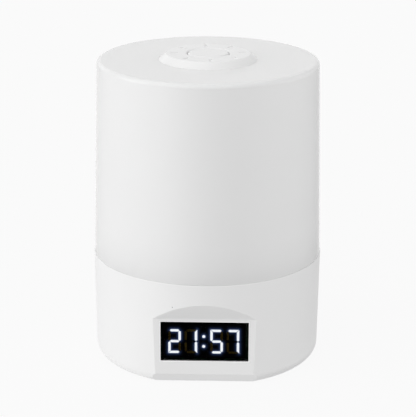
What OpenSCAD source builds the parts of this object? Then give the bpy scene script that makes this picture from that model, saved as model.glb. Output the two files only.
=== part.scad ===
// Bedside wake-up lamp with an alarm clock: a tall light diffuser on a round clock base.
// Millimetres, +Z up, the origin on the table at the lamp's centre line, the display facing -Y.

/* [Base] */
// Radius of the base's wall, carried down to the underside
base_bottom_r = 56.7; // [56.4:0.1:57.2]
// Radius of the base at the seam with the diffuser
base_top_r = 57.5; // [57.3:0.05:57.6]
// Height of the base's top edge above the table
base_top_z = 53.65; // [53:0.05:56]
// Height of the tapered band along the base's lower edge
band_h = 4.5; // [4:0.1:5]
// How far that band runs in to the underside
band_in = 2.5; // [2:0.1:2.8]
// Wall thickness of the base housing
wall = 2.2; // [1.8:0.1:2.3]

/* [Front and rear panels] */
// Distance from the centre line to the flat front panel
front_y = 51.35; // [51:0.05:51.8]
// Distance from the centre line to the flat rear panel
rear_y = 53.5; // [53.2:0.1:54]
// Height of both panels' top line, where the sloped ledge begins
panel_top_z = 34.2; // [34:0.1:36]
// Rise of the sloped ledge for each millimetre it runs outward
ledge_slope = 1.55; // [1.4:0.05:1.7]

/* [Display] */
// Width of the visible window
window_w = 43.1; // [42:0.1:44]
// Height of the visible window
window_h = 20.5; // [19.5:0.1:20.8]
// Height of the window's middle above the table
window_z = 22.5; // [22.3:0.05:22.7]
// Height of a digit
digit_h = 12.55; // [12:0.05:13.2]
// Width of a digit
digit_w = 6.2; // [6:0.1:7]
// Width of one glowing bar
segment_t = 1.2; // [1.1:0.05:1.4]
// Distance between the two hour digits and between the two minute digits
digit_pitch = 8; // [7.9:0.05:8.5]
// Distance between the digits on either side of the colon
colon_pitch = 12.6; // [12:0.1:12.6]

/* [Diffuser] */
// Radius of the diffuser at its lower edge
diffuser_bottom_r = 57.3; // [57.2:0.05:57.3]
// Radius of the diffuser just under its top edge
diffuser_top_r = 55.2; // [54.5:0.05:56]
// Height of the diffuser's flat top above the table
diffuser_top_z = 152; // [150:0.1:156]
// Radius of the round along the diffuser's top edge
diffuser_round = 2.2; // [1.8:0.1:3]
// Wall thickness of the diffuser
diffuser_wall = 1.8; // [1.6:0.1:2]

/* [Hub and light button] */
// Radius of the hub where it meets the diffuser
hub_bottom_r = 24.5; // [24:0.1:26]
// Radius of the hub's flat top
hub_top_r = 20.8; // [20.6:0.1:22]
// Height of the hub
hub_h = 3.1; // [3:0.1:3.6]
// Radius of the light button in the middle of the hub
button_r = 10.2; // [10.1:0.05:10.3]
// Travel of the light button
button_travel = 0.8; // [0.4:0.1:0.8]
// Number of rays round the button
rays = 8; // [6:1:12]
// Angle of the first ray
ray_turn = 5.8; // [0:0.1:45]

/* [Rear controls] */
// Diameter of a rear button's cap
rear_cap_d = 6.4; // [6:0.1:6.8]
// Distance between the rear buttons
rear_pitch = 9.5; // [9.2:0.1:9.8]
// Length of the alarm slider's travel
slider_travel = 3; // [2:0.5:3]

/* [Feet] */
// Radius of a rubber foot
foot_r = 4.5; // [4:0.5:5]
// Height that a foot stands below the base
foot_h = 0.8; // [0.6:0.1:1]

/* [Hidden] */
$fn = 96;

// Heights of the base
base_z = foot_h;
cover_t = 2.2;
lip_z = base_z + cover_t;
lip_t = 2;
floor_z = lip_z + lip_t;
fit = 0.05;
far = 2 * base_top_r;
band_r = (band_h * band_h + band_in * band_in) / (2 * band_in);

// Bottom cover and what stands on it
cover_r = 45.5;
cover_gap = 0.25;
lip_r = 42.5;
cover_screw_r = 40.5;
cover_screw_angles = [20, 160, 200, 340];
boss_r = 4;
boss_top_z = 9;
foot_circle_r = 38.2;
foot_sink = 0.5;
foot_edge = 0.3;
board_z = 24;
board_t = 1.6;
board_post_x = 29;
board_post_y = 16.5;
board_post_r = 3;
speaker_x = -12;
speaker_r = 18;
battery_x = 21.5;
cell_r = 10;
cell_z = lip_z + 1.4;
cell_h = 3.2;
door_r = 10.3;
door_gap = 0.3;
lug_r = 11.8;
lug_angle = 28;
door_turn = 45;

// Deck under the diffuser
deck_t = 2;
deck_z = base_top_z - 2.2;
deck_r = 53.2;
shelf_t = 2;
deck_screw_r = 49.8;
deck_screw_angles = [45, 135, 225, 315];
deck_boss_h = 3;
deck_top_z = deck_z + deck_t;
led_board_t = 1.2;
led_board_z = deck_top_z + led_board_t;
led_screw_r = 30.5;
led_screw_angles = [0, 90, 180, 270];
column_screw_r = 11;
column_screw_angles = [30, 150, 270];
column_hole_r = 6.4;

// Diffuser and hub
diffuser_hole_r = 18.3;
spigot_r = [53.5, 54.8];
hub_top_z = diffuser_top_z + hub_h;
hub_wall = 1.6;
hub_edge_r = 0.8;
hub_side = atan2(hub_h, hub_bottom_r - hub_top_r);
hub_edge_run = hub_edge_r * tan(hub_side / 2);
guide_r = button_r + 0.3;
guide_outer_r = 12.6;
guide_bottom_z = diffuser_top_z - 2.9;
ring_edge = [0.7, 0.5];
ray_w = 1.6;
ray_r = [14.6, 18.9];
ray_depth = 0.75;
ray_cut_r = (ray_w * ray_w / 4 + ray_depth * ray_depth) / (2 * ray_depth);
hub_boss_circle_r = 15.6;
hub_boss_r = 2.3;
head_z = diffuser_top_z - diffuser_wall - 4.5;
head_t = 2;
button_board_r = 12.5;
button_board_t = 1.2;
button_board_z = head_z + button_board_t;
button_skirt_t = 1.2;
button_flange_r = 11.6;
button_flange_h = 1;
switch_h = 3.5;
switch_w = 6;
switch_floor = 1.3;
plunger_r = 1.75;
post_z = button_board_z + switch_h + 0.9;
spring_r = 7.2;
spring_wire_r = 0.35;
spring_turns = 5.5;
spring_steps = 16;
spring_sides = 8;

// Front panel, its window and the digits
bezel_w = 0.45;
bezel_proud = 0.12;
bezel_depth = 1.2;
pane_recess = 0.3;
pane_flange = [window_w + 3.8, window_h + 2.4];
pane_flange_t = 0.6;
pane_back_y = -front_y + wall + pane_flange_t;
segment_proud = 0.1;
segment_gap = 0.16;
block_front_y = pane_back_y + 0.2;
block_d = 6;
block_size = [41, 17.5];
digits_x = -0.45;
digits_z = window_z - 1.05;
colon_r = 0.75;
colon_rise = 2.6;
display_board_y = block_front_y + block_d;
display_board_size = [46, 33];
display_board_z = 22.3;
display_post_x = 19.5;
display_post_z = [8, 36.6];
display_post_r = 2.4;
// Bars a to g of each digit, 1 for lit, then its mitred corners: top left, top right,
// bottom right, bottom left
DIGITS = [
  [[1, 1, 0, 1, 1, 0, 1], [0, 0, 0, 1]],
  [[0, 1, 1, 0, 0, 0, 0], [0, 1, 1, 0]],
  [[1, 0, 1, 1, 0, 1, 1], [1, 0, 0, 0]],
  [[1, 1, 1, 0, 0, 0, 0], [0, 1, 1, 0]]
];

// Rear panel and its controls
rear_inner_y = rear_y - wall;
rear_board_y = 43.6;
rear_face_y = rear_board_y + board_t;
rear_stem_y = rear_face_y + switch_h + 0.8;
rear_board_size = [48, 28];
rear_board_z = 23.5;
rear_post_x = 21.5;
rear_post_z = [12, 35];
rear_post_r = 2.4;
rear_button_z = 27;
rear_row_z = 14;
rear_travel = 0.4;
rear_flange_r = 4.2;
cap_gap = 0.3;
cap_proud = 0.9;
slider_x = 12;
slider_cap = [3.4, 2.4];
slider_slot = [slider_cap[0] + slider_travel + 0.6, 3];
inlet_size = [8.94, 3.16];
inlet_wall = 0.3;

// Light sensor behind its pinhole, to the left of the front panel
sensor_angle = -105.7;
sensor_z = 41.7;
sensor_r = 1.5;
pinhole_r = 0.25;

function base_r(z) =
  base_bottom_r + (base_top_r - base_bottom_r) * (z - base_z) / (base_top_z - base_z);
function digit_x(i) = digits_x + [-1, -1, 1, 1][i] * colon_pitch / 2 + [-1, 0, 0, 1][i] * digit_pitch;
function rear_x(i) = (i - 2.5) * rear_pitch;

// A flat outline, drawn as seen from the front, filling the space from y_min to y_max
module slab(y_min, y_max) {
  translate([0, y_max, 0]) rotate([90, 0, 0]) linear_extrude(height = y_max - y_min) children();
}

// A disc or ring standing on height z
module ring(r_out, r_in, z, h) {
  translate([0, 0, z]) difference() {
    cylinder(r = r_out, h = h);
    if (r_in > 0) translate([0, 0, -1]) cylinder(r = r_in, h = h + 2);
  }
}

module stadium(w, h) {
  square([w - h, h], center = true);
  for (s = [-1, 1]) translate([s * (w - h) / 2, 0]) circle(r = h / 2);
}

// Part of a flat ring, centred on the +X direction
module sector(r_in, r_out, angle) {
  intersection() {
    difference() {
      circle(r = r_out);
      circle(r = r_in);
    }
    for (s = [-1, 1]) polygon([[0, 0], [2 * r_out, 0], [2 * r_out, s * 2 * r_out * tan(angle / 2)]]);
  }
}

module at_angles(angles, r) {
  for (a = angles) rotate(a) translate([r, 0, 0]) children();
}

module at_corners(x, y) {
  for (sx = [-1, 1], sy = [-1, 1]) translate([sx * x, sy * y]) children();
}

// A pan-head screw: the head hangs below the origin and the shank points up
module screw(shank_r, shank_l, head_r, head_h) {
  difference() {
    union() {
      cylinder(r = shank_r, h = shank_l);
      translate([0, 0, -head_h]) cylinder(r = head_r, h = head_h);
    }
    for (a = [0, 90]) {
      rotate(a) translate([0, 0, -head_h]) cube([head_r * 1.1, 0.5, head_h], center = true);
    }
  }
}

// ---- Base housing ----

// Space in front of a flat panel and its sloped ledge, the panel moved inward by inset
module panel_void(y, inset, turn) {
  corner_y = y - inset;
  corner_z = panel_top_z + inset * (sqrt(1 + ledge_slope * ledge_slope) - ledge_slope);
  far_z = corner_z + ledge_slope * (far - corner_y);
  rotate([90, 0, turn]) linear_extrude(height = far, center = true) {
    polygon([[corner_y, -far], [corner_y, corner_z], [far, far_z], [far, -far]]);
    if (inset == 0) polygon([
      [y, base_z + band_h], [y, base_z - band_h], [y - 2 * band_in, base_z - band_h]
    ]);
  }
}

// Half section of the drum: its wall curves in along the band at the foot
module base_outline() {
  band_z = base_z + band_h;
  intersection() {
    union() {
      polygon([
        [0, base_z], [base_r(band_z) - band_in, base_z], [base_r(band_z), band_z],
        [base_top_r, base_top_z], [0, base_top_z]
      ]);
      translate([base_r(band_z) - band_r, band_z]) circle(r = band_r);
    }
    translate([0, base_z]) square([far, base_top_z - base_z]);
  }
}

module base_solid() {
  difference() {
    rotate_extrude() base_outline();
    panel_void(front_y, 0, -90);
    panel_void(rear_y, 0, 90);
  }
}

module base_cavity() {
  difference() {
    rotate_extrude() polygon([
      [0, floor_z], [base_r(floor_z) - wall, floor_z],
      [base_top_r - wall, base_top_z + 1], [0, base_top_z + 1]
    ]);
    panel_void(front_y, wall, -90);
    panel_void(rear_y, wall, 90);
  }
  cylinder(r = lip_r, h = floor_z + 1);
}

module base_posts() {
  at_angles(cover_screw_angles, cover_screw_r) ring(boss_r, 0, lip_z, boss_top_z - lip_z);
  ring(base_top_r - wall + 0.5, deck_screw_r - 3.3, deck_z - shelf_t, shelf_t);
  slab(-front_y + 0.45, display_board_y) display_post_places() circle(r = display_post_r);
  slab(rear_face_y, rear_inner_y - 0.3) rear_post_places() circle(r = rear_post_r);
  at_sensor(52.3) cylinder(r = sensor_r + 1.1, h = 3.2);
}

module display_post_places() {
  for (s = [-1, 1], z = display_post_z) translate([s * display_post_x, z]) children();
}

module rear_post_places() {
  for (s = [-1, 1], z = rear_post_z) translate([s * rear_post_x, z]) children();
}

// The sensor's axis, pointing outward, at a distance r from the centre line
module at_sensor(r) {
  rotate(sensor_angle) translate([r, 0, sensor_z]) rotate([0, 90, 0]) children();
}

module base_holes() {
  translate([0, 0, -1]) cylinder(r = cover_r + cover_gap, h = lip_z + 1);
  at_angles(cover_screw_angles, cover_screw_r) ring(1.5 + fit, 0, lip_z - 1, boss_top_z - lip_z + 0.4);
  at_angles(deck_screw_angles, deck_screw_r) ring(1.5, 0, deck_z - shelf_t - 1, shelf_t + 2);
  slab(display_board_y - 6, display_board_y + 1) display_post_places() circle(r = 1 + fit);
  slab(rear_face_y - 1, rear_face_y + 5) rear_post_places() circle(r = 1 + fit);
  at_sensor(52) cylinder(r = sensor_r + fit, h = 2.4);
  at_sensor(53) cylinder(r = pinhole_r, h = 6);
  slab(-front_y - 1, -front_y + wall + 1) translate([0, window_z]) {
    square([window_w + 2 * (bezel_w + fit), window_h + 2 * (bezel_w + fit)], center = true);
  }
  slab(rear_inner_y - 1, rear_y + 1) {
    for (i = [1:4]) translate([rear_x(i), rear_button_z]) circle(r = rear_cap_d / 2 + cap_gap);
    translate([0, rear_row_z]) stadium(inlet_size[0] + 0.7, inlet_size[1] + 0.7);
    translate([slider_x, rear_row_z]) square(slider_slot, center = true);
  }
}

module base_housing() {
  color("white") difference() {
    union() {
      difference() {
        base_solid();
        base_cavity();
      }
      base_posts();
    }
    base_holes();
  }
}

// ---- Bottom cover, feet and backup cell ----

module bottom_cover() {
  color("whitesmoke") difference() {
    union() {
      ring(cover_r, 0, base_z, cover_t);
      at_corners(board_post_x, board_post_y) ring(board_post_r, 0, lip_z, board_z - lip_z);
      translate([speaker_x, 0]) ring(speaker_r + 1.4, speaker_r + 0.2, lip_z - 0.5, 2.7);
    }
    at_corners(board_post_x, board_post_y) ring(1.25 + fit, 0, board_z - 8, 9);
    at_angles([for (i = [1:4]) 45 + 90 * i], foot_circle_r) ring(foot_r + 0.1, 0, 0, base_z + foot_sink);
    at_angles(cover_screw_angles, cover_screw_r) {
      ring(3.1, 0, 0, base_z + 1.4);
      ring(1.7, 0, 0, lip_z + 1);
    }
    translate([battery_x, 0, -1]) linear_extrude(height = lip_z + 2) {
      circle(r = door_r + door_gap);
      for (a = [0, 180]) rotate(a + door_turn) sector(door_r - 1, lug_r + door_gap, lug_angle + 6);
    }
    translate([speaker_x, 0, -1]) linear_extrude(height = lip_z + 2) {
      for (i = [-3:3]) translate([0, i * 3.6]) stadium(2 * sqrt(169 - pow(i * 3.6, 2)), 1.6);
    }
  }
}

module foot(i) {
  top_z = foot_h + foot_sink;
  color("dimgray") rotate(45 + 90 * i) translate([foot_circle_r, 0, 0]) rotate_extrude() {
    polygon([[0, 0], [foot_r - foot_edge, 0], [foot_r, foot_edge], [foot_r, top_z], [0, top_z]]);
  }
}

module cover_screws() {
  color("silver") at_angles(cover_screw_angles, cover_screw_r) {
    translate([0, 0, base_z + 1.4]) screw(1.5, boss_top_z - base_z - 2.4, 2.8, 1.2);
  }
}

module battery_door() {
  color("whitesmoke") translate([battery_x, 0, 0]) difference() {
    union() {
      ring(door_r, 0, base_z, cover_t);
      ring(door_r, 8.6, lip_z, 1.1);
      for (a = [0, 180]) rotate(a) translate([0, 0, lip_z + 0.15]) {
        linear_extrude(height = 0.95) sector(door_r - 1, lug_r, lug_angle);
      }
    }
    translate([0, 0, base_z + 0.8 - 5]) linear_extrude(height = 5) square([13, 1.8], center = true);
  }
}

module battery_cell() {
  color("silver") translate([battery_x, 0, 0]) {
    ring(cell_r - 1.2, 0, cell_z, cell_h);
    ring(cell_r, 0, cell_z + 0.4, cell_h - 0.4);
  }
}

module battery_holder() {
  color("ivory") translate([battery_x, 0, 0]) difference() {
    ring(13.2, 0, lip_z, 6.6);
    ring(12.3, 0, lip_z - 1, 2.7);
    ring(cell_r + 0.2, 0, lip_z, 5.4);
    ring(3, 0, lip_z, 8);
  }
}

module battery_contact() {
  color("gold") translate([battery_x, 0, cell_z + cell_h]) {
    translate([-6, -2, 0]) cube([12, 4, 0.4]);
    translate([-1.5, -0.25, 0.2]) cube([3, 0.5, 3.8]);
  }
}

// ---- Main board and speaker ----

module main_board() {
  color("seagreen") difference() {
    translate([-33, -20, board_z]) cube([66, 40, board_t]);
    at_corners(board_post_x, board_post_y) ring(1.5, 0, board_z - 1, board_t + 2);
  }
}

module main_board_screws() {
  color("silver") at_corners(board_post_x, board_post_y) {
    translate([0, 0, board_z + board_t]) rotate([180, 0, 0]) screw(1.25, 8, 2.3, 1.2);
  }
}

module control_chip() {
  color("black") translate([-14, -8, board_z + board_t]) difference() {
    translate([-5, -5, 0]) cube([10, 10, 1.6]);
    translate([-3.6, 3.6, 1.4]) cylinder(r = 0.6, h = 1);
  }
}

module clock_crystal() {
  color("silver") translate([-22, 2, board_z + board_t]) {
    linear_extrude(height = 0.4) stadium(11, 4.7);
    linear_extrude(height = 3.5) stadium(10.2, 3.9);
  }
}

module capacitors() {
  color("darkslateblue") for (i = [0:2]) translate([9 + 8 * i, 9, board_z + board_t]) {
    ring(3.2, 0, 0, 1.2);
    ring(2.9, 0, 1.2, 0.6);
    ring(3.2, 0, 1.8, 6.2);
  }
}

// Wire sockets: two under the board for the ribbon leads, one on it for the button lead
module board_sockets() {
  places = [[13, -17.3, board_z - 4], [10, 17.3, board_z - 4], [0, 0, board_z + board_t]];
  color("ivory") for (p = places) translate(p) {
    difference() {
      translate([-5, -2.5, 0]) cube([10, 5, 4]);
      translate([-3, 1.6, 1]) cube([6, 1, 2]);
    }
  }
}

module speaker_frame() {
  color("dimgray") translate([speaker_x, 0, lip_z]) rotate_extrude() polygon([
    [15.5, 0], [speaker_r, 0], [speaker_r, 2.2], [16.8, 2.2], [10.5, 9], [10.5, 9.6],
    [7, 9.6], [7, 8.6], [9.7, 8.6], [15.5, 2]
  ]);
}

module speaker_cone() {
  color("black") translate([speaker_x, 0, lip_z]) rotate_extrude() polygon([
    [0, 6.2], [4.6, 6.2], [5.2, 5.4], [13.4, 0.9], [15.4, 0.9], [15.4, 1.3], [13.5, 1.3],
    [5.6, 5.8], [5.2, 8.2], [4.8, 8.2], [4.8, 6.7], [0, 6.7]
  ]);
}

module speaker_magnet() {
  color("gray") translate([speaker_x, 0, lip_z + 9.6]) {
    ring(8.5, 0, 0, 0.8);
    ring(9.5, 0, 0.8, 3.4);
    ring(8.5, 0, 4.2, 0.8);
  }
}

// ---- Display ----

module window_bezel() {
  color("white") slab(-front_y - bezel_proud, -front_y + bezel_depth) {
    translate([0, window_z]) difference() {
      square([window_w + 2 * bezel_w, window_h + 2 * bezel_w], center = true);
      square([window_w, window_h], center = true);
    }
  }
}

module display_window() {
  color("black") {
    slab(-front_y + pane_recess, -front_y + wall) translate([0, window_z]) {
      square([window_w - 2 * fit, window_h - 2 * fit], center = true);
    }
    slab(-front_y + wall, pane_back_y) translate([0, window_z]) square(pane_flange, center = true);
  }
}

module display_block() {
  color("black") slab(block_front_y, display_board_y) translate([digits_x, digits_z]) {
    square(block_size, center = true);
  }
}

// Right end of a bar of length l between corner points, its outer side up
function bar_end(l, sharp) =
  let (x = l / 2 - segment_gap, t = segment_t / 2)
  sharp ? [[x - t, -t], [x + t, t]] : [[x - t, -t], [x, 0], [x - t, t]];

module bar(l, left, right) {
  start = bar_end(l, left);
  polygon(concat(bar_end(l, right), [for (i = [len(start) - 1:-1:0]) [-start[i][0], start[i][1]]]));
}

// The bars of one digit whose flag in shown is 1
module digit_bars(shown, corners) {
  x = (digit_w - segment_t) / 2;
  z = (digit_h - segment_t) / 2;
  if (shown[0]) translate([0, z]) bar(2 * x, corners[0], corners[1]);
  if (shown[1]) translate([x, z / 2]) rotate(-90) bar(z, corners[1], 0);
  if (shown[2]) translate([x, -z / 2]) rotate(-90) bar(z, 0, corners[2]);
  if (shown[3]) translate([0, -z]) mirror([0, 1]) bar(2 * x, corners[3], corners[2]);
  if (shown[4]) translate([-x, -z / 2]) rotate(90) bar(z, corners[3], 0);
  if (shown[5]) translate([-x, z / 2]) rotate(90) bar(z, 0, corners[0]);
  if (shown[6]) bar(2 * x, 0, 0);
}

module lit_segments() {
  color("white") slab(block_front_y - segment_proud, block_front_y) {
    for (i = [0:3]) translate([digit_x(i), digits_z]) digit_bars(DIGITS[i][0], DIGITS[i][1]);
    for (s = [-1, 1]) translate([digits_x, digits_z + s * colon_rise]) circle(r = colon_r);
  }
}

module dark_segments() {
  color([0.12, 0.1, 0.04]) slab(block_front_y - segment_proud, block_front_y) {
    for (i = [0:3]) translate([digit_x(i), digits_z]) {
      digit_bars([for (lit = DIGITS[i][0]) 1 - lit], DIGITS[i][1]);
    }
  }
}

module display_board() {
  color("seagreen") slab(display_board_y, display_board_y + board_t) difference() {
    translate([0, display_board_z]) square(display_board_size, center = true);
    display_post_places() circle(r = 1.2);
  }
}

module display_screws() {
  color("silver") for (s = [-1, 1], z = display_post_z) {
    translate([s * display_post_x, display_board_y + board_t, z]) rotate([90, 0, 0]) screw(1, 6.5, 1.9, 1);
  }
}

// Flat leads from the display board and the rear board to the sockets under the main board
module ribbon_leads() {
  color("lightgray") {
    rotate([90, 0, 90]) translate([0, 0, 9]) linear_extrude(height = 8) polygon([
      [display_board_y + board_t, 14], [-17, 14], [-17, 20], [-17.6, 20], [-17.6, 14.6],
      [display_board_y + board_t, 14.6]
    ]);
    rotate([90, 0, 90]) translate([0, 0, 6]) linear_extrude(height = 8) polygon([
      [rear_board_y, 17], [17, 17], [17, 20], [17.6, 20], [17.6, 17.6], [rear_board_y, 17.6]
    ]);
  }
}

// ---- Rear controls ----

module rear_board() {
  color("seagreen") slab(rear_board_y, rear_face_y) difference() {
    translate([0, rear_board_z]) square(rear_board_size, center = true);
    rear_post_places() circle(r = 1.2);
  }
}

module rear_board_screws() {
  color("silver") for (s = [-1, 1], z = rear_post_z) {
    translate([s * rear_post_x, rear_board_y, z]) rotate([-90, 0, 0]) screw(1, 6, 1.9, 1);
  }
}

module rear_switches() {
  color("black") for (i = [1:4]) translate([rear_x(i), 0, rear_button_z]) difference() {
    slab(rear_face_y, rear_face_y + switch_h) square(switch_w, center = true);
    slab(rear_face_y + switch_floor, rear_face_y + switch_h + 1) circle(r = plunger_r + 0.1);
  }
}

module rear_plunger(i) {
  color("dimgray") translate([rear_x(i), 0, rear_button_z]) {
    slab(rear_face_y + switch_floor + rear_travel + 0.1, rear_stem_y) circle(r = plunger_r);
  }
}

module rear_button(i) {
  flange_y = rear_inner_y - 1.2;
  cap_r = rear_cap_d / 2;
  cap_y = rear_y + cap_proud;
  color("white") translate([rear_x(i), 0, rear_button_z]) rotate([-90, 0, 0]) rotate_extrude() {
    polygon([
      [0, rear_stem_y], [2, rear_stem_y], [2, flange_y], [rear_flange_r, flange_y],
      [rear_flange_r, flange_y + 1], [cap_r, flange_y + 1], [cap_r, cap_y - 0.4],
      [cap_r - 0.4, cap_y], [0, cap_y]
    ]);
    translate([cap_r - 0.4, cap_y - 0.4]) circle(r = 0.4);
  }
}

module slide_switch() {
  color("silver") translate([slider_x, 0, rear_row_z]) difference() {
    slab(rear_face_y, rear_face_y + switch_h) square([9, 4], center = true);
    slab(rear_face_y + 1.8, rear_face_y + switch_h + 1) square([slider_travel + 3, 1.8], center = true);
  }
}

module alarm_slider() {
  plate = [slider_slot[0] + slider_travel + 0.4, slider_slot[1] + 1.4];
  color("white") translate([slider_x - slider_travel / 2, 0, rear_row_z]) {
    slab(rear_face_y + 2.2, rear_inner_y - 1.2) square([2.4, 1.4], center = true);
    slab(rear_inner_y - 1.2, rear_inner_y - 0.2) square(plate, center = true);
    difference() {
      slab(rear_inner_y - 0.2, rear_y + cap_proud) square(slider_cap, center = true);
      for (s = [-1, 0, 1]) translate([s * 0.9, rear_y + cap_proud, 0]) cube([0.35, 0.5, 10], center = true);
    }
  }
}

module power_inlet() {
  mouth_y = rear_y - 0.3;
  color("silver") translate([0, 0, rear_row_z]) {
    difference() {
      slab(rear_face_y, mouth_y) stadium(inlet_size[0], inlet_size[1]);
      slab(rear_face_y + 1.8, mouth_y + 1) {
        stadium(inlet_size[0] - 2 * inlet_wall, inlet_size[1] - 2 * inlet_wall);
      }
    }
    slab(rear_face_y + 1.5, mouth_y - 0.6) square([6.7, 0.7], center = true);
  }
}

module light_sensor() {
  color("black") at_sensor(50.6) {
    cylinder(r = sensor_r, h = 3.7);
    cylinder(r = sensor_r + 0.5, h = 1);
  }
}

// ---- Lamp ----

module light_deck() {
  color("white") difference() {
    union() {
      ring(deck_r, 0, deck_z, deck_t);
      at_angles(deck_screw_angles, deck_screw_r) ring(3, 0, deck_z, deck_t + deck_boss_h);
      at_angles(led_screw_angles, led_screw_r) ring(2.5, 0, deck_z - 3, deck_t + 3);
    }
    ring(column_hole_r, 0, deck_z - 1, deck_t + 2);
    at_angles(deck_screw_angles, deck_screw_r) ring(1.25 + fit, 0, deck_z - 1, deck_t + deck_boss_h + 0.6);
    at_angles(led_screw_angles, led_screw_r) ring(1 + fit, 0, deck_z - 2.5, 8);
    at_angles(column_screw_angles, column_screw_r) ring(1.45, 0, deck_z - 1, deck_t + 2);
  }
}

module deck_screws() {
  color("silver") at_angles(deck_screw_angles, deck_screw_r) {
    translate([0, 0, deck_z - shelf_t]) screw(1.25, shelf_t + deck_t + deck_boss_h - 0.6, 2.3, 1.2);
  }
}

module column_screws() {
  color("silver") at_angles(column_screw_angles, column_screw_r) {
    translate([0, 0, deck_z]) screw(1.25, 7.5, 2.3, 1.2);
  }
}

module led_board() {
  color("white") difference() {
    ring(45, 16, deck_top_z, led_board_t);
    at_angles(led_screw_angles, led_screw_r) ring(1.2, 0, deck_top_z - 1, led_board_t + 2);
  }
}

module led() {
  difference() {
    translate([-2.5, -2.5, led_board_z]) cube([5, 5, 1.6]);
    translate([0, 0, led_board_z + 1.3]) cylinder(r = 2, h = 1);
  }
}

module leds() {
  color("khaki") {
    at_angles([22.5:45:360], 23.5) led();
    at_angles([11.25:22.5:360], 38) led();
  }
}

module led_board_screws() {
  color("silver") at_angles(led_screw_angles, led_screw_r) {
    translate([0, 0, led_board_z]) rotate([180, 0, 0]) screw(1, 5, 1.9, 1);
  }
}

module diffuser() {
  inner_top_z = diffuser_top_z - diffuser_wall;
  edge_z = diffuser_top_z - diffuser_round;
  color([0.95, 0.95, 0.96]) rotate_extrude() difference() {
    union() {
      polygon([
        [diffuser_hole_r, base_top_z], [diffuser_bottom_r, base_top_z], [diffuser_top_r, edge_z],
        [diffuser_top_r - diffuser_round, diffuser_top_z], [diffuser_hole_r, diffuser_top_z]
      ]);
      translate([diffuser_top_r - diffuser_round, edge_z]) circle(r = diffuser_round);
      translate([spigot_r[0], base_top_z - 2.15]) square([spigot_r[1] - spigot_r[0], 3]);
    }
    polygon([
      [0, base_top_z - 1], [spigot_r[0], base_top_z - 1], [spigot_r[0], base_top_z + 1.5],
      [diffuser_bottom_r - diffuser_wall, base_top_z + 1.5],
      [diffuser_top_r - diffuser_wall, inner_top_z - 1], [diffuser_top_r - diffuser_wall - 1, inner_top_z],
      [0, inner_top_z]
    ]);
  }
}

module centre_column() {
  color("white") difference() {
    union() {
      rotate_extrude() polygon([
        [column_hole_r, deck_top_z], [14.5, deck_top_z], [14.5, deck_top_z + 2], [8, deck_top_z + 2],
        [8, head_z - head_t], [21, head_z - head_t], [21, diffuser_top_z - diffuser_wall],
        [19.5, diffuser_top_z - diffuser_wall], [19.5, head_z], [3, head_z], [3, head_z - head_t],
        [column_hole_r, head_z - head_t]
      ]);
      at_angles(column_screw_angles, column_screw_r) ring(2.6, 0, deck_top_z, 6.6);
    }
    at_angles(column_screw_angles, column_screw_r) ring(1.25 + fit, 0, deck_top_z - 1, 7);
    at_angles(column_screw_angles, hub_boss_circle_r) ring(1.45, 0, head_z - head_t - 1, head_t + 2);
  }
}

module hub_outline() {
  roof_z = hub_top_z - hub_wall;
  edge_r = hub_top_r - hub_edge_run;
  polygon([
    [guide_r, guide_bottom_z], [guide_outer_r, guide_bottom_z], [guide_outer_r, roof_z],
    [hub_bottom_r - 4, roof_z], [hub_bottom_r - 1, diffuser_top_z],
    [hub_bottom_r, diffuser_top_z],
    [hub_top_r + hub_edge_run * cos(hub_side), hub_top_z - hub_edge_run * sin(hub_side)],
    [edge_r, hub_top_z], [guide_r + ring_edge[0], hub_top_z], [guide_r, hub_top_z - ring_edge[1]]
  ]);
  translate([edge_r, hub_top_z - hub_edge_r]) circle(r = hub_edge_r);
}

// One ray of the sun symbol: a short groove with a round bottom and round ends
module ray_cut() {
  ends = [ray_r[0] + ray_w / 2, ray_r[1] - ray_w / 2];
  translate([0, 0, hub_top_z - ray_depth + ray_cut_r]) {
    translate([ends[0], 0, 0]) rotate([0, 90, 0]) cylinder(r = ray_cut_r, h = ends[1] - ends[0]);
    for (x = ends) translate([x, 0, 0]) sphere(r = ray_cut_r);
  }
}

module hub() {
  color("white") difference() {
    union() {
      rotate_extrude() hub_outline();
      at_angles(column_screw_angles, hub_boss_circle_r) ring(hub_boss_r, 0, head_z, hub_top_z - 1 - head_z);
    }
    at_angles(column_screw_angles, hub_boss_circle_r) ring(1.25 + fit, 0, head_z - 1, 8);
    for (i = [0:rays - 1]) rotate(ray_turn + i * 360 / rays) ray_cut();
  }
}

module hub_screws() {
  color("silver") at_angles(column_screw_angles, hub_boss_circle_r) {
    translate([0, 0, head_z - head_t]) screw(1.25, head_t + 6.5, 2.3, 1.2);
  }
}

module button_board() {
  color("seagreen") ring(button_board_r, 0, head_z, button_board_t);
}

module button_lead() {
  lead_z = board_z + board_t + 4;
  color("lightgray") translate([-2.5, -0.5, lead_z]) cube([5, 1, head_z - lead_z]);
}

module top_switch() {
  color("black") difference() {
    translate([-switch_w / 2, -switch_w / 2, button_board_z]) cube([switch_w, switch_w, switch_h]);
    ring(plunger_r + 0.1, 0, button_board_z + switch_floor, switch_h);
  }
}

module top_plunger() {
  low_z = button_board_z + switch_floor + button_travel + 0.2;
  color("dimgray") ring(plunger_r, 0, low_z, post_z - low_z);
}

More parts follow.
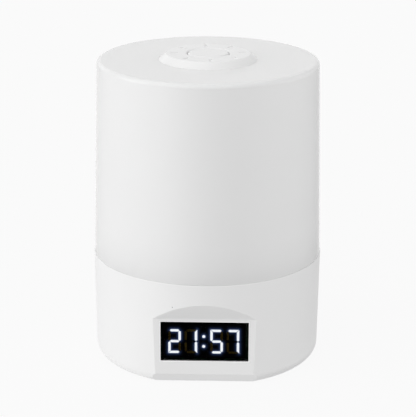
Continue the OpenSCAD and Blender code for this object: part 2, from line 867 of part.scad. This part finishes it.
module button_spring() {
  low = button_board_z + spring_wire_r;
  rise = hub_top_z - hub_wall - spring_wire_r - low;
  rings = spring_turns * spring_steps;
  side = 360 / spring_sides;
  points = [
    for (i = [0:rings], j = [0:spring_sides - 1])
      let (a = 360 * i / spring_steps, r = spring_r + spring_wire_r * cos(side * j))
      [r * cos(a), r * sin(a), low + rise * i / rings + spring_wire_r * sin(side * j)]
  ];
  faces = [
    [for (j = [0:spring_sides - 1]) j],
    for (i = [0:rings - 1], j = [0:spring_sides - 1])
      let (a = i * spring_sides + j, b = i * spring_sides + (j + 1) % spring_sides)
      [a, a + spring_sides, b + spring_sides, b],
    [for (j = [spring_sides - 1:-1:0]) rings * spring_sides + j]
  ];
  color("silver") polyhedron(points, faces, convexity = 10);
}

module light_button() {
  roof_z = hub_top_z - hub_wall;
  flange_z = guide_bottom_z - 0.1 - button_flange_h;
  color("white") {
    rotate_extrude() polygon([
      [0, roof_z], [button_r - button_skirt_t, roof_z], [button_r - button_skirt_t, flange_z],
      [button_flange_r, flange_z], [button_flange_r, flange_z + button_flange_h],
      [button_r, flange_z + button_flange_h], [button_r, hub_top_z - ring_edge[1]],
      [button_r - ring_edge[0], hub_top_z], [0, hub_top_z]
    ]);
    ring(plunger_r, 0, post_z, roof_z + 0.5 - post_z);
  }
}

base_housing();
bottom_cover();
foot(1);  // foot_1
foot(2);  // foot_2
foot(3);  // foot_3
foot(4);  // foot_4
cover_screws();
battery_door();
battery_cell();
battery_holder();
battery_contact();
main_board();
main_board_screws();
control_chip();
clock_crystal();
capacitors();
board_sockets();
speaker_frame();
speaker_cone();
speaker_magnet();
window_bezel();
display_window();
display_block();
lit_segments();
dark_segments();
display_board();
display_screws();
ribbon_leads();
rear_board();
rear_board_screws();
rear_switches();
rear_plunger(1);  // rear_plunger_1
rear_plunger(2);  // rear_plunger_2
rear_plunger(3);  // rear_plunger_3
rear_plunger(4);  // rear_plunger_4
rear_button(1);  // rear_button_1
rear_button(2);  // rear_button_2
rear_button(3);  // rear_button_3
rear_button(4);  // rear_button_4
slide_switch();
alarm_slider();
power_inlet();
light_sensor();
light_deck();
deck_screws();
column_screws();
led_board();
leds();
led_board_screws();
diffuser();
centre_column();
hub();
hub_screws();
button_board();
button_lead();
top_switch();
top_plunger();
button_spring();
light_button();
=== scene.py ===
import math

import bmesh
import bpy
import numpy as np
from mathutils import Euler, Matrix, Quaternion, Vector, kdtree


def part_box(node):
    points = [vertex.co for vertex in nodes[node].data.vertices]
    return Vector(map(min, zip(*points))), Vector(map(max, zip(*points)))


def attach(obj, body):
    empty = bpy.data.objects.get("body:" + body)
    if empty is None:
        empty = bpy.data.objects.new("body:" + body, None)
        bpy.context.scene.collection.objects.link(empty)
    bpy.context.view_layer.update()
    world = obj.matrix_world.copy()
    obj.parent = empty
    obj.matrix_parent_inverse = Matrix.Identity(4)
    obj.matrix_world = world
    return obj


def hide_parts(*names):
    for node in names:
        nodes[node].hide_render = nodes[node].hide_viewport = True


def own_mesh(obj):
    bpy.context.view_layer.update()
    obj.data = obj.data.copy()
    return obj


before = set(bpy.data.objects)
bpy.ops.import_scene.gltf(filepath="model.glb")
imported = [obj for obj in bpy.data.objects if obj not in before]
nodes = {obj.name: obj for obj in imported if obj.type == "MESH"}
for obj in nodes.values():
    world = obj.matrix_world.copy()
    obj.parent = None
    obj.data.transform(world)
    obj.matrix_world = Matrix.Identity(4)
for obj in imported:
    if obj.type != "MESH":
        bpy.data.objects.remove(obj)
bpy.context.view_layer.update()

MM = 0.001
# Numbers of a Mix node's colour sockets, whose names its other kinds share.
MIX_A, MIX_B, MIX_RESULT = 6, 7, 2
# Painted shade on the opal plastic, by height: darker towards the seam and across its crown.
MILK_PAINTED_SHADE = (
    (53.6 * MM, 0.95), (54.4 * MM, 0.885), (57 * MM, 0.905), (62 * MM, 0.937),
    (72 * MM, 0.968), (100 * MM, 0.98), (149.4 * MM, 0.99), (150.4 * MM, 0.955),
    (151.6 * MM, 0.925), (152 * MM, 0.94),
)
# Painted highlight: the base is a little lighter along the edge that meets the opal plastic.
BASE_PAINTED_HIGHLIGHT = ((52.9 * MM, 0.95), (53.5 * MM, 1.0))

# ---------------------------------------------------------------- materials


def new_tree(name):
    """A new material, its empty node tree and its output node."""
    mat = bpy.data.materials.new(name)
    mat.use_nodes = True
    tree = mat.node_tree
    tree.nodes.clear()
    out = tree.nodes.new("ShaderNodeOutputMaterial")
    return mat, tree, out


def add(tree, kind, **values):
    """A node with these settings; a name that is a socket's sets the socket."""
    node = tree.nodes.new(kind)
    for key, value in values.items():
        if key in node.inputs:
            node.inputs[key].default_value = value
        else:
            setattr(node, key, value)
    return node


def noise(tree, scale, detail=2.0, stretch=(1, 1, 1)):
    """A noise value from 0 to 1 in the piece's own metres."""
    coord = add(tree, "ShaderNodeTexCoord")
    grid = add(tree, "ShaderNodeMapping")
    grid.inputs["Scale"].default_value = stretch
    tree.links.new(coord.outputs["Object"], grid.inputs["Vector"])
    tex = add(tree, "ShaderNodeTexNoise")
    tex.inputs["Scale"].default_value = scale
    tex.inputs["Detail"].default_value = detail
    tree.links.new(grid.outputs["Vector"], tex.inputs["Vector"])
    return tex.outputs["Fac"]


def ramp(tree, value, stops):
    """The colour at value, between stops of (place, colour)."""
    node = add(tree, "ShaderNodeValToRGB")
    while len(node.color_ramp.elements) < len(stops):
        node.color_ramp.elements.new(0.5)
    for element, (place, colour) in zip(node.color_ramp.elements, stops):
        element.position = place
        element.color = (*colour, 1.0)
    tree.links.new(value, node.inputs["Fac"])
    return node.outputs["Color"]


def span(tree, value, low, high, start=0.3, end=0.7):
    """From low to high as value goes from start to end."""
    node = add(tree, "ShaderNodeMapRange")
    node.inputs["From Min"].default_value = start
    node.inputs["From Max"].default_value = end
    node.inputs["To Min"].default_value = low
    node.inputs["To Max"].default_value = high
    tree.links.new(value, node.inputs["Value"])
    return node.outputs["Result"]


def math_node(tree, operation, first, second=None):
    """A Math node's result, from one or two values, each a number or a node's output."""
    node = add(tree, "ShaderNodeMath", operation=operation)
    for socket, value in zip(node.inputs, (first, second)):
        if isinstance(value, float):
            socket.default_value = value
        elif value is not None:
            tree.links.new(value, socket)
    return node.outputs["Value"]


def bump(tree, value, depth):
    """The surface's normal with value standing depth metres proud."""
    node = add(tree, "ShaderNodeBump")
    node.inputs["Strength"].default_value = 1.0
    node.inputs["Distance"].default_value = depth
    tree.links.new(value, node.inputs["Height"])
    return node.outputs["Normal"]


def height_of(tree):
    """Each point's height above the table, in metres."""
    coord = add(tree, "ShaderNodeTexCoord")
    split = add(tree, "ShaderNodeSeparateXYZ")
    tree.links.new(coord.outputs["Object"], split.inputs["Vector"])
    return split.outputs["Z"]


def shaded(tree, colour, stops):
    """The colour times a painted shade or highlight tone that changes with height; stops hold
    heights in metres.
    """
    low, high = stops[0][0], stops[-1][0]
    place = span(tree, height_of(tree), 0.0, 1.0, low, high)
    tone = ramp(tree, place, [((z - low) / (high - low), (t, t, t)) for z, t in stops])
    mix = add(tree, "ShaderNodeMix", data_type="RGBA", blend_type="MULTIPLY")
    mix.inputs["Factor"].default_value = 1.0
    tree.links.new(colour, mix.inputs[MIX_A])
    tree.links.new(tone, mix.inputs[MIX_B])
    return mix.outputs[MIX_RESULT]


def surface(name, colour, rough, tint=0.02, patch=45.0, rough_step=0.05,
            grain=2200.0, depth=0.00001, stretch=(1, 1, 1), shade=None, **sockets):
    """Moulded, plated or printed stuff: colour drifts by tint, roughness by rough_step,
    and a fine grain stands depth metres proud. shade lists heights and the painted shade or
    highlight tone there."""
    mat, tree, out = new_tree(name)
    shader = add(tree, "ShaderNodeBsdfPrincipled")
    drift = noise(tree, patch, 3.0)
    low = [max(c * (1 - tint), 0.0) for c in colour]
    high = [min(c * (1 + tint), 1.0) for c in colour]
    shown = ramp(tree, drift, [(0.3, low), (0.7, high)])
    if shade:
        shown = shaded(tree, shown, shade)
    tree.links.new(shown, shader.inputs["Base Color"])
    fine = noise(tree, grain, 2.0, stretch)
    tree.links.new(
        span(tree, fine, rough - rough_step, rough + rough_step), shader.inputs["Roughness"]
    )
    tree.links.new(bump(tree, fine, depth), shader.inputs["Normal"])
    for socket, value in sockets.items():
        shader.inputs[socket.replace("_", " ")].default_value = value
    tree.links.new(shader.outputs["BSDF"], out.inputs["Surface"])
    return mat


def paint(mat, *names):
    """Gives these CAD nodes the material."""
    for name in names:
        data = nodes[name].data
        if not data.materials:
            data.materials.append(mat)
        for i in range(len(data.materials)):
            data.materials[i] = mat


# The base's colour carries a painted highlight along its top edge.
housing = surface("housing_abs", (0.84, 0.84, 0.84), 0.42, tint=0.006, depth=0.000006,
                  shade=BASE_PAINTED_HIGHLIGHT)
# The opal plastic's colour carries painted shade by height.
milk = surface("milk_diffuser", (0.815, 0.815, 0.815), 0.06, tint=0.003, grain=60.0,
               depth=0.000006, rough_step=0.015, shade=MILK_PAINTED_SHADE, Subsurface_Weight=1.0,
               Subsurface_Radius=(1.0, 1.0, 1.0), Subsurface_Scale=0.0006)
hub_plastic = surface("hub_plastic", (0.782, 0.782, 0.782), 0.14, tint=0.005, depth=0.000004)
button_plastic = surface("button_plastic", (0.80, 0.80, 0.80), 0.32, tint=0.006, depth=0.000004)
bezel_plastic = surface("bezel_rim", (0.97, 0.97, 0.97), 0.2, tint=0.004, depth=0.000002)
inner_white = surface("inner_white", (0.84, 0.84, 0.83), 0.5, tint=0.01)
rubber = surface("grey_rubber", (0.12, 0.12, 0.125), 0.72, tint=0.12, patch=300.0, depth=0.00002)
steel = surface("zinc_steel", (0.62, 0.62, 0.63), 0.26, tint=0.06, patch=500.0,
                grain=4000.0, depth=0.000004, Metallic=1.0)
brass = surface("contact_brass", (0.72, 0.52, 0.22), 0.24, tint=0.08, patch=400.0,
                grain=4000.0, depth=0.000003, Metallic=1.0)
cream = surface("cream_nylon", (0.74, 0.70, 0.58), 0.5, tint=0.02)
board = surface("solder_mask", (0.012, 0.085, 0.035), 0.3, tint=0.25, patch=260.0,
                grain=1500.0, depth=0.000006, Coat_Weight=0.4, Coat_Roughness=0.15)
black = surface("black_plastic", (0.012, 0.012, 0.013), 0.45, tint=0.15)
block_black = surface("display_black", (0.0012, 0.0012, 0.0014), 0.6, tint=0.2,
                      Specular_IOR_Level=0.01)
cap_blue = surface("sleeve_blue", (0.012, 0.02, 0.09), 0.3, tint=0.1)
paper = surface("doped_paper", (0.014, 0.014, 0.014), 0.7, tint=0.3, patch=900.0,
                grain=1800.0, depth=0.00003)
ferrite = surface("ferrite", (0.06, 0.06, 0.062), 0.55, tint=0.15, patch=500.0, depth=0.00002)
lead_grey = surface("grey_vinyl", (0.34, 0.34, 0.35), 0.5, tint=0.03)
plunger = surface("grey_nylon", (0.10, 0.10, 0.104), 0.4, tint=0.05)
phosphor = surface("phosphor", (0.84, 0.66, 0.14), 0.35, tint=0.05)


paint(housing, "base_housing", "bottom_cover", "battery_door")
paint(milk, "diffuser")
paint(hub_plastic, "hub", "light_button")
paint(button_plastic, "rear_button_1", "rear_button_2", "rear_button_3", "rear_button_4",
      "alarm_slider")
paint(bezel_plastic, "window_bezel")
paint(inner_white, "light_deck", "centre_column", "led_board")
paint(rubber, "foot_1", "foot_2", "foot_3", "foot_4")
paint(steel, "cover_screws", "battery_cell", "main_board_screws", "display_screws",
      "rear_board_screws", "deck_screws", "column_screws", "led_board_screws", "hub_screws",
      "power_inlet", "clock_crystal")
paint(brass, "battery_contact")
paint(cream, "battery_holder", "board_sockets")
paint(board, "main_board", "display_board", "rear_board", "button_board")
paint(black, "control_chip", "rear_switches", "slide_switch", "top_switch", "light_sensor",
      "speaker_frame")
paint(block_black, "display_block")
paint(cap_blue, "capacitors")
paint(paper, "speaker_cone")
paint(ferrite, "speaker_magnet")
paint(lead_grey, "ribbon_leads", "button_lead")
paint(plunger, "rear_plunger_1", "rear_plunger_2", "rear_plunger_3", "rear_plunger_4",
      "top_plunger")
paint(phosphor, "leds")


def pane_material():
    """Smoked acrylic: what lies behind shows through it, darkened."""
    mat, tree, out = new_tree("smoked_acrylic")
    shader = add(tree, "ShaderNodeBsdfPrincipled")
    haze = noise(tree, 120.0, 3.0)
    tree.links.new(
        ramp(tree, haze, [(0.3, (0.0, 0.0, 0.0)), (0.7, (0.0008, 0.0008, 0.001))]),
        shader.inputs["Base Color"],
    )
    tree.links.new(span(tree, haze, 0.03, 0.07), shader.inputs["Roughness"])
    shader.inputs["Alpha"].default_value = 0.3
    shader.inputs["Specular IOR Level"].default_value = 0.01
    tree.links.new(shader.outputs["BSDF"], out.inputs["Surface"])
    return mat


paint(pane_material(), "display_window")


def lit_material():
    """The lit bars, a little uneven along their length."""
    mat, tree, out = new_tree("lit_bar")
    shader = add(tree, "ShaderNodeBsdfPrincipled")
    patchy = noise(tree, 500.0, 2.0)
    glow = ramp(tree, patchy, [(0.3, (0.90, 0.95, 1.0)), (0.7, (0.96, 0.98, 1.0))])
    tree.links.new(glow, shader.inputs["Emission Color"])
    tree.links.new(glow, shader.inputs["Base Color"])
    tree.links.new(span(tree, patchy, 0.4, 0.6), shader.inputs["Roughness"])
    shader.inputs["Emission Strength"].default_value = 1.5
    tree.links.new(shader.outputs["BSDF"], out.inputs["Surface"])
    return mat


paint(lit_material(), "lit_segments")


# The band of heights, either side of the digits' middle, that stays black.
MIDDLE_BAND = (0.65 * MM, 0.78 * MM)


def unlit_material():
    """The unlit bars: faint brown, apart from the middle bars, which stay black."""
    lo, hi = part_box("dark_segments")
    middle = (lo.z + hi.z) / 2
    mat, tree, out = new_tree("unlit_bar")
    shader = add(tree, "ShaderNodeBsdfPrincipled")
    away = math_node(
        tree, "ABSOLUTE", math_node(tree, "SUBTRACT", height_of(tree), middle)
    )
    shown = span(tree, away, 0.0, 1.0, *MIDDLE_BAND)
    patchy = noise(tree, 700.0, 2.0)
    brown = ramp(tree, patchy, [(0.3, (0.062, 0.042, 0.009)), (0.7, (0.072, 0.050, 0.012))])
    mix = add(tree, "ShaderNodeMix", data_type="RGBA")
    mix.inputs[MIX_A].default_value = (0.001, 0.001, 0.0012, 1.0)
    tree.links.new(shown, mix.inputs["Factor"])
    tree.links.new(brown, mix.inputs[MIX_B])
    tree.links.new(mix.outputs[MIX_RESULT], shader.inputs["Base Color"])
    tree.links.new(span(tree, patchy, 0.45, 0.55), shader.inputs["Roughness"])
    shader.inputs["Specular IOR Level"].default_value = 0.01
    tree.links.new(shader.outputs["BSDF"], out.inputs["Surface"])
    return mat


paint(unlit_material(), "dark_segments")

# ---------------------------------------------------------------- pieces made here


def new_object(name, build, mat):
    """A mesh object of this material, made from the bmesh, which is used up."""
    mesh = bpy.data.meshes.new(name)
    build.to_mesh(mesh)
    build.free()
    mesh.materials.append(mat)
    made = bpy.data.objects.new(name, mesh)
    bpy.context.scene.collection.objects.link(made)
    return made


# The printed sheet of the display, and the painted glow on it round the lit bars.
MASK_PROUD = 0.05 * MM
MASK_STEP = 0.2 * MM
# A face looks forward where its normal's y is below this.
FORWARD = -0.9
POINT_STEP = 0.2 * MM
GLOW_FADE = 0.39 * MM
GLOW_PEAK = 0.42


def bar_points(node):
    """Points all over the faces of the node that look forward."""
    mesh = nodes[node].data
    points = []
    for poly in mesh.polygons:
        if poly.normal.y > FORWARD:
            continue
        corners = [mesh.vertices[i].co for i in poly.vertices]
        a = corners[0]
        for b, c in zip(corners[1:], corners[2:]):
            longest = max((b - a).length, (c - a).length, (c - b).length)
            steps = max(2, int(longest / POINT_STEP))
            for i in range(steps + 1):
                for j in range(steps + 1 - i):
                    points.append(a + (b - a) * (i / steps) + (c - a) * (j / steps))
    return points


def glow_material():
    """Black print, with a painted glow of the light spilling from the bars, by each point's glow
    value.
    """
    mat, tree, out = new_tree("mask_print_painted_glow")
    shader = add(tree, "ShaderNodeBsdfPrincipled")
    grain = noise(tree, 900.0, 2.0)
    tree.links.new(
        ramp(tree, grain, [(0.3, (0.0010, 0.0010, 0.0012)), (0.7, (0.0014, 0.0014, 0.0016))]),
        shader.inputs["Base Color"],
    )
    tree.links.new(span(tree, grain, 0.55, 0.65), shader.inputs["Roughness"])
    shader.inputs["Specular IOR Level"].default_value = 0.01
    source = add(tree, "ShaderNodeAttribute", attribute_name="glow")
    spill = ramp(
        tree, source.outputs["Fac"], [(0.0, (0.0, 0.0, 0.0)), (1.0, (0.24, 0.40, 1.0))]
    )
    tree.links.new(spill, shader.inputs["Emission Color"])
    shader.inputs["Emission Strength"].default_value = GLOW_PEAK
    tree.links.new(shader.outputs["BSDF"], out.inputs["Surface"])
    return mat


def mask_sheet(lo, hi):
    """The sheet in small squares, with its rim turned back to the block."""
    front = lo.y - MASK_PROUD
    columns = round((hi.x - lo.x) / MASK_STEP)
    rows = round((hi.z - lo.z) / MASK_STEP)
    build = bmesh.new()
    grid = [
        [
            build.verts.new((
                lo.x + (hi.x - lo.x) * i / columns, front, lo.z + (hi.z - lo.z) * j / rows
            ))
            for i in range(columns + 1)
        ]
        for j in range(rows + 1)
    ]
    for j in range(rows):
        for i in range(columns):
            build.faces.new((grid[j][i], grid[j][i + 1], grid[j + 1][i + 1], grid[j + 1][i]))
    rim = bmesh.ops.extrude_edge_only(
        build, edges=[edge for edge in build.edges if edge.is_boundary]
    )["geom"]
    foot = [item for item in rim if isinstance(item, bmesh.types.BMVert)]
    for vertex in foot:
        vertex.co.y = lo.y
    middle = (lo + hi) / 2
    build.faces.new(
        sorted(foot, key=lambda v: math.atan2(v.co.z - middle.z, v.co.x - middle.x))
    )
    bmesh.ops.recalc_face_normals(build, faces=build.faces)
    return build


def segment_mask():
    """A thin printed sheet on the display block, which the bars stand through."""
    points = bar_points("lit_segments")
    tree = kdtree.KDTree(len(points))
    for i, point in enumerate(points):
        tree.insert(point, i)
    tree.balance()
    mask = new_object("segment_mask", mask_sheet(*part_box("display_block")), glow_material())
    # Painted glow: each point of the sheet glows less the further it lies from a lit bar.
    glow = mask.data.attributes.new("glow", "FLOAT", "POINT")
    values = [math.exp(-tree.find(vertex.co)[2] / GLOW_FADE) for vertex in mask.data.vertices]
    glow.data.foreach_set("value", np.array(values, np.float32))
    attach(mask, "clock_body")


segment_mask()

# The light button's spring, a wire that is closed up on itself at both ends.
COIL_TURNS = 5.5
CLOSED_TURNS = 0.9
WIRE_RADIUS = 0.35 * MM
TURN_STEPS = 40
WIRE_SIDES = 12


def coil_height(turn, free):
    """How far up the wire's centre is after this many turns: the end turns lie closed."""
    closed = CLOSED_TURNS * 2 * WIRE_RADIUS
    if turn < CLOSED_TURNS:
        return turn * 2 * WIRE_RADIUS
    if turn > COIL_TURNS - CLOSED_TURNS:
        return free - (COIL_TURNS - turn) * 2 * WIRE_RADIUS
    share = (turn - CLOSED_TURNS) / (COIL_TURNS - 2 * CLOSED_TURNS)
    return closed + (free - 2 * closed) * share


def coil(lo, hi):
    """The coiled wire between these two corners."""
    radius = (hi.x - lo.x) / 2 - WIRE_RADIUS
    free = hi.z - lo.z - 2 * WIRE_RADIUS
    build = bmesh.new()
    rings = []
    for i in range(round(COIL_TURNS * TURN_STEPS) + 1):
        around = 2 * math.pi * i / TURN_STEPS
        z = lo.z + WIRE_RADIUS + coil_height(i / TURN_STEPS, free)
        ring = []
        for j in range(WIRE_SIDES):
            side = 2 * math.pi * j / WIRE_SIDES
            out = radius + WIRE_RADIUS * math.cos(side)
            ring.append(build.verts.new((
                out * math.cos(around), out * math.sin(around), z + WIRE_RADIUS * math.sin(side)
            )))
        rings.append(ring)
    for ring, above in zip(rings, rings[1:]):
        for j in range(WIRE_SIDES):
            k = (j + 1) % WIRE_SIDES
            face = build.faces.new((ring[j], ring[k], above[k], above[j]))
            face.smooth = True
    build.faces.new(rings[0])
    build.faces.new(rings[-1])
    bmesh.ops.recalc_face_normals(build, faces=build.faces)
    return build


def coil_spring():
    """The spring stands on the button's board."""
    lo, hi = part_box("button_spring")
    spring = new_object("coil_spring", coil(lo, hi), steel)
    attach(spring, "clock_body")
    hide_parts("button_spring")
    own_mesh(spring)


coil_spring()

# ---------------------------------------------------------------- floor, light, camera

FLOOR_SIDE = 8.0
DOME_RADIUS = 3.9
PALE = 0.905


def stage_material():
    """Pale and even: it glows a little, so that shadows on it stay faint."""
    mat, tree, out = new_tree("pale_stage")
    shader = add(tree, "ShaderNodeBsdfPrincipled")
    tone = noise(tree, 1.5, 1.0)
    tree.links.new(
        ramp(tree, tone, [(0.3, (0.05, 0.05, 0.05)), (0.7, (0.052, 0.052, 0.052))]),
        shader.inputs["Base Color"],
    )
    shader.inputs["Roughness"].default_value = 0.9
    shader.inputs["Specular IOR Level"].default_value = 0.0
    shader.inputs["Emission Color"].default_value = (1.0, 1.0, 1.0, 1.0)
    shader.inputs["Emission Strength"].default_value = PALE
    tree.links.new(shader.outputs["BSDF"], out.inputs["Surface"])
    return mat


def stage_piece(name, build, mat):
    """A floor or backdrop: seen by the camera, it sends no light back to the clock."""
    piece = new_object(name, build, mat)
    piece.visible_diffuse = False
    piece.visible_glossy = False
    piece.visible_transmission = False
    piece.visible_shadow = False


pale = stage_material()
build = bmesh.new()
bmesh.ops.create_grid(build, x_segments=2, y_segments=2, size=FLOOR_SIDE / 2)
stage_piece("floor", build, pale)
build = bmesh.new()
bmesh.ops.create_uvsphere(build, u_segments=64, v_segments=32, radius=DOME_RADIUS)
stage_piece("backdrop", build, pale)

# The studio's lights: azimuth from the front towards the clock's right-hand side, elevation,
# brightness, and how narrow the light is.
STUDIO_LIGHTS = {
    "overhead_front": (315, 62, 0.7, 4),
    "overhead_back": (225, 62, 0.7, 4),
    "high_front": (0, 33, 0.65, 5),
    "high_right": (45, 33, 0.2, 5),
    "high_back": (180, 33, 0.2, 5),
    "high_left": (295, 33, 0.55, 5),
    "right_wall": (90, 6, 1.15, 7),
    "right_front_wall": (60, 6, 0.4, 7),
    "right_back_wall": (120, 6, 0.6, 7),
    "back_wall": (180, 6, 0.45, 7),
    "left_front_wall": (315, 6, 0.7, 7),
    "table_right": (60, -20, 0.45, 7),
    "table_front": (330, -20, 0.15, 7),
    "bounce_back": (180, -50, 0.5, 4),
    "bounce_left": (240, -50, 0.7, 4),
    "bounce_front": (300, -50, 0.8, 4),
    "left_softbox": (280, 15, 1.95, 30),
    "back_left_strip": (210, 18, 0.5, 25),
    "back_table_strip": (180, -18, 0.4, 20),
}


def studio_world():
    world = bpy.data.worlds.new("studio")
    world.use_nodes = True
    tree = world.node_tree
    coord = add(tree, "ShaderNodeTexCoord")
    total = None
    for azimuth, elevation, strength, narrow in STUDIO_LIGHTS.values():
        a, e = math.radians(azimuth), math.radians(elevation)
        dot = add(tree, "ShaderNodeVectorMath", operation="DOT_PRODUCT")
        tree.links.new(coord.outputs["Generated"], dot.inputs[0])
        dot.inputs[1].default_value = (
            math.sin(a) * math.cos(e), -math.cos(a) * math.cos(e), math.sin(e)
        )
        away = math_node(tree, "SUBTRACT", dot.outputs["Value"], 1.0)
        lobe = math_node(
            tree, "EXPONENT", math_node(tree, "MULTIPLY", away, float(narrow))
        )
        lobe = math_node(tree, "MULTIPLY", lobe, strength)
        total = lobe if total is None else math_node(tree, "ADD", total, lobe)
    tree.links.new(total, tree.nodes["Background"].inputs["Strength"])
    tree.nodes["Background"].inputs["Color"].default_value = (1.0, 1.0, 1.0, 1.0)
    return world


bpy.context.scene.world = studio_world()


# The camera stands off by DISTANCE along the floor, a little right of the clock's front.
LENS = 148.76
SENSOR = 36.0
DISTANCE = 0.83285
HEIGHT = 0.34026
AZIMUTH = math.radians(1.3)
PITCH = 0.309
ROLL = 0.0046
YAW = 0.0003

camera_data = bpy.data.cameras.new("camera")
camera_data.lens = LENS
camera_data.sensor_width = SENSOR
camera_data.sensor_fit = "AUTO"
camera = bpy.data.objects.new("camera", camera_data)
bpy.context.scene.collection.objects.link(camera)
camera.location = (DISTANCE * math.sin(AZIMUTH), -DISTANCE * math.cos(AZIMUTH), HEIGHT)
camera.rotation_mode = "QUATERNION"
level = Euler((math.pi / 2 - PITCH, 0, AZIMUTH - YAW)).to_quaternion()
camera.rotation_quaternion = level @ Quaternion((0, 0, 1), ROLL)
bpy.context.scene.camera = camera

bpy.context.scene.view_settings.view_transform = "Standard"
